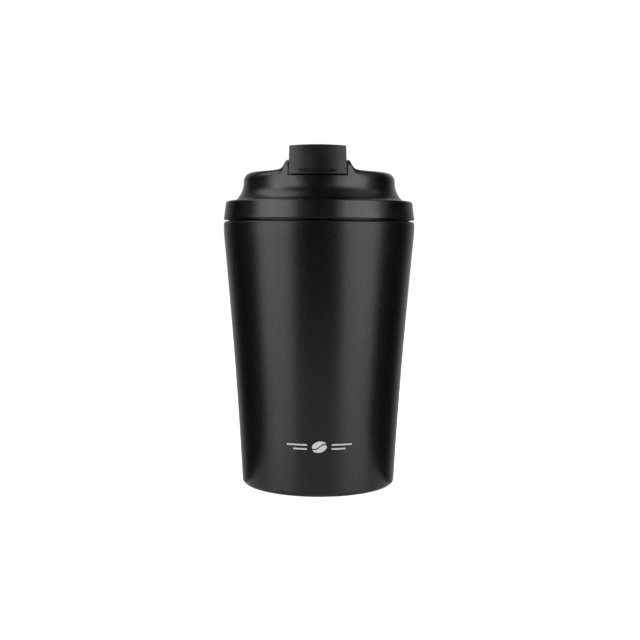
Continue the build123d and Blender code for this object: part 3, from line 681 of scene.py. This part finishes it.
class MUG_OT_lid_cover(bpy.types.Operator):
    """Lid cover with its flared collar, spout notch and raised ears"""
    bl_idname = "mug.lid_cover"
    bl_label = "Lid cover"

    # Millimetres, apart from the counts of steps, the ear's power and the edge's stretch.
    WALL = 1.8                      # skirt and shoulder
    FLARE_WALL = 1.05
    SKIRT_SPREAD = 0.07             # skirt's corner before rounding, outside the frame's box
    SKIRT_BOW = 0.08                # the skirt bows in by this much halfway up
    SKIRT_ROUND, SKIRT_INNER_ROUND = 0.4, 0.3
    SHOULDER_ROUND = 1.3
    FLARE_FOOT_ROUND = 0.8
    RECESS_ROUND = 0.12
    RIM_FLAT = 0.15                 # left between the rim's rounding and the recess
    LONGEST_STEP = 0.9
    FLARE_STEPS, RIM_STEPS = 24, 14
    EAR_CURVE = 2.4                 # power by which an ear falls
    FINE_INSIDE, FINE_OUTSIDE = 1.5, 7.0    # close stations on each side of the notch's edge
    FRONT_STEPS, FINE_STEPS, BACK_STEPS = 16, 46, 120
    SILL_DROP = 2.5                 # rim to the sill of the notch
    CORNER_FILL = 0.27              # width of the raised corners at the sill's inner part
    CORNER_TOP, CORNER_END = 0.65, 0.9      # they lean back between these heights above the sill
    EDGE_STRETCH = 1.3              # the notch's edge rounding runs this many times deeper than wide

    def execute(self, context):
        form, finish = context.scene.mug_form, context.scene.mug_finish
        plastic = moulded_plastic("lid_plastic", finish.lid, finish.texture / MM, 0.26, 0.36)
        mesh = self.cut(self.shell(form), self.cutter(form))
        piece("lid_cover_shell", mesh, plastic, "lid", "lid_plastic", "lid_cover")
        return {"FINISHED"}

    def places(self, form):
        """Radii and heights taken from the frame and the form, in millimetres."""
        skirt_r, skirt_z = node_box("lid_cover")[1].x, node_box("lid_cover")[0].z
        shoulder_z = skirt_z + form.shoulder_height / MM
        foot_z = shoulder_z + form.shoulder_rise / MM
        rim_z = foot_z + form.collar_height / MM
        return skirt_r, skirt_z, shoulder_z, foot_z, rim_z

    def outline(self, form):
        """Closed (radius, height) outline of the cover's wall."""
        skirt_r, skirt_z, shoulder_z, foot_z, rim_z = self.places(form)
        skirt_r += self.SKIRT_SPREAD
        collar_r, wall = form.collar_radius / MM, form.collar_wall / MM
        flare_r, flare_z = form.flare_radius / MM, rim_z - form.flare_drop / MM
        shoulder_r = form.shoulder_radius / MM
        swing = math.asin((flare_z - foot_z) / flare_r)
        flare = []
        for step in range(self.FLARE_STEPS + 1):
            angle = swing * (1 - step / self.FLARE_STEPS)
            spot = (collar_r + flare_r * (1 - math.cos(angle)), flare_z - flare_r * math.sin(angle))
            flare.append((*spot, self.FLARE_FOOT_ROUND if step == 0 else 0))
        recess_r, plug_z = collar_r - wall, shoulder_z - self.WALL
        corners = [
            (skirt_r, skirt_z, self.SKIRT_ROUND),
            ((skirt_r + shoulder_r) / 2 - self.SKIRT_BOW, (skirt_z + shoulder_z) / 2, 0),
            (shoulder_r, shoulder_z, self.SHOULDER_ROUND), *flare, *self.rim(form, rim_z),
            (recess_r, rim_z, self.RECESS_ROUND), (recess_r, rim_z - form.deck_under / MM, 0),
            (flare[0][0] - self.FLARE_WALL, plug_z, 0), (shoulder_r - self.WALL, plug_z, 0),
            (skirt_r - self.WALL, skirt_z, self.SKIRT_INNER_ROUND),
        ]
        return fill_gaps(rounded_outline(corners), self.LONGEST_STEP)

    def rim(self, form, rim_z):
        """Large rounding from the collar's outside up to its inner edge."""
        collar_r, wall, rounding = form.collar_radius / MM, form.collar_wall / MM, form.rim_round / MM
        last = math.acos(1 - (wall - self.RIM_FLAT) / rounding)
        start_z = rim_z - rounding * math.sin(last)
        turns = [last * step / self.RIM_STEPS for step in range(self.RIM_STEPS + 1)]
        return [(collar_r - rounding * (1 - math.cos(turned_by)), start_z + rounding * math.sin(turned_by), 0)
                for turned_by in turns]

    def rise(self, form, angle):
        """Height of the ears above the rim at an angle from the front."""
        height = node_box("lid_cover")[1].z - self.places(form)[-1]
        if abs(angle) > math.pi / 2:
            return 0.0
        across = form.collar_radius / MM * math.sin(abs(angle))
        beyond = max(0.0, across - form.ear_flat / MM) / (form.ear_fall / MM)
        return height / (1 + beyond ** self.EAR_CURVE)

    def stations(self, form):
        """Angles from the front, close together where the ears rise and fall."""
        collar_r, half = form.collar_radius / MM, form.notch_width / MM / 2
        near = math.asin((half - self.FINE_INSIDE) / collar_r)
        far = math.asin((half + self.FINE_OUTSIDE) / collar_r)
        spans = [(0.0, near, self.FRONT_STEPS), (near, far, self.FINE_STEPS), (far, math.pi, self.BACK_STEPS)]
        right = [start + (end - start) * step / count for start, end, count in spans for step in range(count)]
        return right + [math.pi] + [-angle for angle in reversed(right[1:])]

    def shell(self, form):
        """The cover with its ears, before the notch is cut."""
        outline = self.outline(form)
        rim_z = self.places(form)[-1]
        flare_z = rim_z - form.flare_drop / MM
        full_z = self.rim(form, rim_z)[0][1]
        cloth = bmesh.new()
        rings = []
        for angle in self.stations(form):
            rise = self.rise(form, angle)
            ring = []
            for radius, height in outline:
                share = min(1.0, max(0.0, (height - flare_z) / (full_z - flare_z)))
                ring.append(cloth.verts.new((
                    radius * math.sin(angle) * MM, -radius * math.cos(angle) * MM,
                    (height + rise * share) * MM)))
            rings.append(ring)
        for near, far in zip(rings, rings[1:] + rings[:1]):
            for index in range(len(near)):
                following = (index + 1) % len(near)
                cloth.faces.new((near[index], far[index], far[following], near[following]))
        return self.object(cloth, "lid_cover_blank")

    def cutter(self, form):
        """An upright block with the notch's plan: wide outside, narrow inside, edges eased."""
        collar_r = form.collar_radius / MM
        half = form.notch_width / MM / 2
        inner = half - form.notch_step / MM
        step_r = collar_r - form.notch_rebate / MM
        edge = form.notch_edge / MM
        face_y = -math.sqrt(collar_r ** 2 - half ** 2)
        inward, outward, upward, edge_steps = 10, 12, 20, 5
        right = [(inner, face_y + inward), (inner, -math.sqrt(step_r ** 2 - inner ** 2)),
                 (half, -math.sqrt(step_r ** 2 - half ** 2))]
        for step in range(edge_steps + 1):
            swing = math.pi / 2 * step / edge_steps
            right.append((half + edge * (1 - math.cos(swing)),
                          face_y + edge - edge * self.EDGE_STRETCH * math.sin(swing)))
        right.append((half + edge, face_y - outward))
        plan = right + [(-x, y) for x, y in reversed(right)]
        sill = self.places(form)[-1] - self.SILL_DROP
        cloth = bmesh.new()
        levels = []
        for above, fill in ((0, self.CORNER_FILL), (self.CORNER_TOP, self.CORNER_FILL),
                            (self.CORNER_END, 0.0), (upward, 0.0)):
            level = []
            for x, y in plan:
                narrower = fill if abs(x) < (inner + half) / 2 else 0.0
                level.append(cloth.verts.new((
                    math.copysign(abs(x) - narrower, x) * MM, y * MM, (sill + above) * MM)))
            levels.append(level)
        cloth.faces.new(levels[0])
        cloth.faces.new(levels[-1])
        for low, high in zip(levels, levels[1:]):
            for index in range(len(plan)):
                following = (index + 1) % len(plan)
                cloth.faces.new((low[index], low[following], high[following], high[index]))
        return self.object(cloth, "notch_cutter")

    def object(self, cloth, name):
        """A linked object made from a bmesh, which is freed."""
        bmesh.ops.recalc_face_normals(cloth, faces=cloth.faces)
        mesh = bpy.data.meshes.new(name)
        cloth.to_mesh(mesh)
        cloth.free()
        holder = bpy.data.objects.new(name, mesh)
        bpy.context.collection.objects.link(holder)
        return holder

    def cut(self, blank, cutter):
        """The blank less the cutter, as a plain mesh."""
        modifier = blank.modifiers.new("notch", "BOOLEAN")
        modifier.operation = "DIFFERENCE"
        modifier.solver = "EXACT"
        modifier.object = cutter
        bpy.context.view_layer.update()
        evaluated = blank.evaluated_get(bpy.context.evaluated_depsgraph_get())
        mesh = bpy.data.meshes.new_from_object(evaluated)
        bpy.data.objects.remove(blank)
        bpy.data.objects.remove(cutter)
        return mesh


# ---------------------------------------------------------------- stage

class MUG_OT_stage(bpy.types.Operator):
    """Floor, lights and camera"""
    bl_idname = "mug.stage"
    bl_label = "Stage"

    def execute(self, context):
        settings = context.scene.mug_stage
        self.floor(settings)
        self.lights(settings)
        self.camera(context, settings)
        return {"FINISHED"}

    def floor(self, settings):
        """White sweep that the camera sees, and that neither lights the mug nor shows in it."""
        mesh = bpy.data.meshes.new("floor")
        sheet = bmesh.new()
        bmesh.ops.create_circle(sheet, cap_ends=True, segments=96, radius=4.0)
        sheet.to_mesh(mesh)
        sheet.free()
        floor = bpy.data.objects.new("floor", mesh)
        bpy.context.collection.objects.link(floor)
        finish = Finish("white_sweep", (0.86, 0.86, 0.86), 0.6)
        finish.shader.inputs["Emission Color"].default_value = (1.0, 1.0, 1.0, 1.0)
        finish.shader.inputs["Emission Strength"].default_value = settings.floor_glow
        mesh.materials.append(finish.material)
        floor.visible_glossy = False
        floor.visible_diffuse = False

    def area(self, name, place, size, power, aim):
        """An area light at place, aimed at a point."""
        data = bpy.data.lights.new(name, "AREA")
        data.shape = "RECTANGLE"
        data.size, data.size_y = size
        data.energy = power
        lamp = bpy.data.objects.new(name, data)
        bpy.context.collection.objects.link(lamp)
        lamp.location = place
        lamp.rotation_euler = (Vector(aim) - Vector(place)).to_track_quat("-Z", "Y").to_euler()

    def lights(self, settings):
        """Two large side lights with a dark gap in front, two overhead, one behind, one off the floor."""
        middle = (0.0, 0.0, 0.08)
        away, angle, height = 0.9, math.radians(53), 0.25
        for name, side in (("left_light", -1), ("right_light", 1)):
            place = (side * away * math.sin(angle), -away * math.cos(angle), height)
            self.area(name, place, (0.78, 1.0), settings.side_power, middle)
        self.area("over_left", (-0.53, 0.0, 0.80), (0.6, 0.6), settings.left_power, middle)
        self.area("over_right", (0.56, 0.0, 0.80), (0.6, 0.6), settings.right_power, middle)
        self.area("rear_light", (0.0, 0.60, 0.70), (0.5, 0.4), settings.rear_power, (0.0, 0.0, 0.14))
        bounce_y = -0.155
        self.area("floor_bounce", (0.0, bounce_y, 0.0005), (0.30, 0.30), settings.bounce_power,
                  (0.0, bounce_y, 1.0))
        bpy.data.lights["floor_bounce"].shape = "DISK"
        self.room(settings)

    def room(self, settings):
        """White to look at, but dim to light by: a bright wall behind, a faint glow from below."""
        world = bpy.data.worlds.new("white_room")
        world.use_nodes = True
        bpy.context.scene.world = world
        nodes = world.node_tree.nodes
        links = world.node_tree.links
        seen = nodes.new("ShaderNodeBackground")
        seen.inputs["Color"].default_value = (1.0, 1.0, 1.0, 1.0)
        room = nodes["Background"]
        room.inputs["Color"].default_value = (1.0, 1.0, 1.0, 1.0)
        direction = nodes.new("ShaderNodeTexCoord")
        axes = nodes.new("ShaderNodeSeparateXYZ")
        links.new(direction.outputs["Generated"], axes.inputs["Vector"])
        glows = []
        for axis, start, end, brightest in (
            ("Y", 0.60, 0.95, settings.back_wall), ("Z", -0.10, -0.80, settings.ground_glow),
        ):
            ramp = nodes.new("ShaderNodeMapRange")
            ramp.interpolation_type = "SMOOTHSTEP"
            ramp.inputs["From Min"].default_value = start
            ramp.inputs["From Max"].default_value = end
            ramp.inputs["To Max"].default_value = brightest
            links.new(axes.outputs[axis], ramp.inputs["Value"])
            glows.append(ramp.outputs["Result"])
        both = nodes.new("ShaderNodeMath")
        both.operation = "ADD"
        for source, socket in zip(glows, both.inputs):
            links.new(source, socket)
        strength = nodes.new("ShaderNodeMath")
        strength.operation = "ADD"
        strength.inputs[1].default_value = settings.room_glow
        links.new(both.outputs["Value"], strength.inputs[0])
        links.new(strength.outputs["Value"], room.inputs["Strength"])
        path = nodes.new("ShaderNodeLightPath")
        mix = nodes.new("ShaderNodeMixShader")
        links.new(path.outputs["Is Camera Ray"], mix.inputs["Fac"])
        links.new(room.outputs["Background"], mix.inputs[1])
        links.new(seen.outputs["Background"], mix.inputs[2])
        links.new(mix.outputs["Shader"], nodes["World Output"].inputs["Surface"])

    def camera(self, context, settings):
        """Camera level with the top of the cup, tipped slightly down."""
        data = bpy.data.cameras.new("camera")
        data.sensor_width = 36.0
        data.lens = settings.lens
        data.clip_start = 0.01
        data.clip_end = 20.0
        camera = bpy.data.objects.new("camera", data)
        bpy.context.collection.objects.link(camera)
        round_mug = Matrix.Rotation(settings.azimuth, 4, "Z")
        place = round_mug @ Vector((settings.side_step, -settings.distance, settings.eye_height))
        level = Euler((math.pi / 2 - settings.pitch, 0.0, 0.0)).to_matrix().to_4x4()
        lean = Matrix.Rotation(settings.roll, 4, "Z")
        camera.matrix_world = Matrix.Translation(place) @ round_mug @ level @ lean
        context.scene.camera = camera
        context.scene.view_settings.view_transform = "Standard"
        context.scene.view_settings.look = "None"


# ---------------------------------------------------------------- carried-over nodes

class MUG_OT_finishes(bpy.types.Operator):
    """Finishes on the CAD nodes that keep their own shape"""
    bl_idname = "mug.finishes"
    bl_label = "Finishes"

    def execute(self, context):
        settings = context.scene.mug_finish
        texture_mm = settings.texture / MM
        dark = soft_silicone("stopper_silicone", settings.silicone)
        seal = soft_silicone("seal_silicone", settings.seal)
        finishes = {
            "lid_deck": moulded_plastic("deck_plastic", settings.lid, texture_mm * 1.4, 0.36, 0.50),
            "lid_plug": moulded_plastic("plug_plastic", scaled(settings.lid, 2.0), texture_mm, 0.30, 0.42),
            "flip_arm": moulded_plastic("tab_plastic", scaled(settings.lid, 1.6), texture_mm, 0.33, 0.45),
            "flip_stopper": dark,
            "vent_pad": dark,
            "lid_seal": seal,
            "drink_gasket": seal,
            "vent_gasket": seal,
            "inner_liner": satin_steel("liner_steel", settings.steel, (1.0, 1.0, 14.0)),
            "hinge_pin": satin_steel("pin_steel", settings.steel, (0.15, 3.0, 3.0), 0.12, 0.25),
            "vacuum_base": spun_steel("base_steel", scaled(settings.steel, 0.9)),
            "base_cap": spun_steel("cap_steel", settings.steel),
            "seal_bead": solder_glass(settings),
            "getter_holder": spun_steel("getter_steel", scaled(settings.steel, 0.6)),
            "getter_pill": pressed_powder(settings),
            "liner_foil": crinkled_foil(settings),
        }
        for node, material in finishes.items():
            dress(node, material)
        return {"FINISHED"}


class MUG_PT_panel(bpy.types.Panel):
    """Travel mug builder"""
    bl_idname = "MUG_PT_panel"
    bl_label = "Travel mug"
    bl_space_type = "VIEW_3D"
    bl_region_type = "UI"
    bl_category = "Travel mug"

    def draw(self, context):
        for group in (getattr(context.scene, name) for name in SETTINGS):
            box = self.layout.box()
            for name in group.__annotations__:
                box.prop(group, name)
        for operator in OPERATORS:
            self.layout.operator(operator.bl_idname)


SETTINGS = {"mug_form": MugFormSettings, "mug_finish": MugFinishSettings, "mug_stage": MugStageSettings}
OPERATORS = (MUG_OT_cup, MUG_OT_lid_cover, MUG_OT_finishes, MUG_OT_stage)


def register():
    for kind in (*SETTINGS.values(), *OPERATORS, MUG_PT_panel):
        bpy.utils.register_class(kind)
    for name, kind in SETTINGS.items():
        setattr(bpy.types.Scene, name, PointerProperty(type=kind))


def unregister():
    for name in SETTINGS:
        delattr(bpy.types.Scene, name)
    for kind in reversed((*SETTINGS.values(), *OPERATORS, MUG_PT_panel)):
        bpy.utils.unregister_class(kind)


def main():
    register()
    for operator in OPERATORS:
        group, name = operator.bl_idname.split(".")
        getattr(getattr(bpy.ops, group), name)()


if __name__ == "__main__":
    main()
